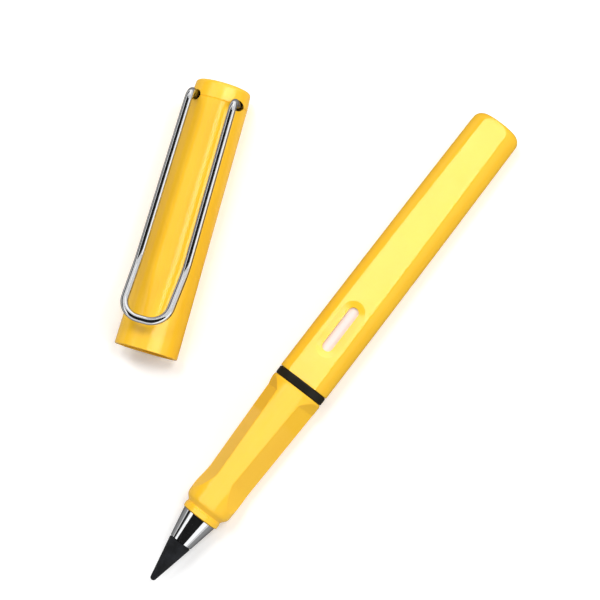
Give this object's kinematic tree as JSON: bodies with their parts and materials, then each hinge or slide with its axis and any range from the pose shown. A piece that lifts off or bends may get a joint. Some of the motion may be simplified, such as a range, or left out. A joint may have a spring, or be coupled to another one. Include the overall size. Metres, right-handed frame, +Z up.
{
  "type": "inkless metal pencil",
  "caption": "Inkless pencil with a screw-in graphite-alloy cone, chrome ferrule, faceted grip and windowed barrel, lying beside its wire-clip cap.",
  "frame": {"origin": "on the table, under the middle of the pencil and cap together", "axes": "+X along the pencil from its point to its closed end, +Y toward the cap, +Z up"},
  "size_m": [0.1284, 0.0672, 0.0227],
  "materials": {
    "yellow_plastic": "glossy moulded",
    "black_plastic": "moulded",
    "white_plastic": "moulded",
    "black_rubber": "smooth",
    "graphite_alloy": "matte turned",
    "chrome": "polished",
    "steel": "turned"
  },
  "bodies": {
    "pencil": {"grip_section": "yellow_plastic", "ferrule": "chrome", "joint_ring": "black_rubber"},
    "tip_carrier": {"tip_stud": "steel"},
    "tip": {"writing_tip": "graphite_alloy"},
    "barrel_carrier": {"window_liner": "white_plastic"},
    "barrel": {"barrel": "yellow_plastic"},
    "cap": {"cap_shell": "yellow_plastic", "inner_cap": "white_plastic", "clip_anchor": "black_plastic", "cap_finial": "yellow_plastic"},
    "clip": {"clip_wire": "chrome"}
  },
  "joints": [
    {"name": "tip_advance", "type": "slide", "parent": "pencil", "child": "tip_carrier", "axis": [-0.9999, 0, 0.0169], "range_m": [0, 0.0042]},
    {"name": "tip_turn", "type": "hinge", "parent": "tip_carrier", "child": "tip", "pos_m": [-0.0537, -0.02728, 0.00706], "axis": [-0.9999, 0, 0.0169], "range_deg": [0, 2165]},
    {"name": "barrel_advance", "type": "slide", "parent": "pencil", "child": "barrel_carrier", "axis": [0.9999, 0, -0.0169], "range_m": [0, 0.007]},
    {"name": "barrel_turn", "type": "hinge", "parent": "barrel_carrier", "child": "barrel", "pos_m": [-0.00856, -0.02728, 0.0063], "axis": [0.9999, 0, -0.0169], "range_deg": [0, 2525]},
    {"name": "cap_pull", "type": "slide", "parent": "pencil", "child": "cap", "axis": [0.9314, 0.3641, 0], "range_m": [0, 0.0551]},
    {"name": "clip_flex", "type": "hinge", "parent": "cap", "child": "clip", "pos_m": [0.02991, 0.02651, 0.00778], "axis": [-0.3643, 0.9306, -0.0349], "range_deg": [0, 4], "stiffness_Nm_per_rad": 0.8}
  ],
  "couplings": [
    {"joint": "tip_turn", "follows": "tip_advance", "rad_per_m": 8976},
    {"joint": "barrel_turn", "follows": "barrel_advance", "rad_per_m": 6283.2}
  ]
}
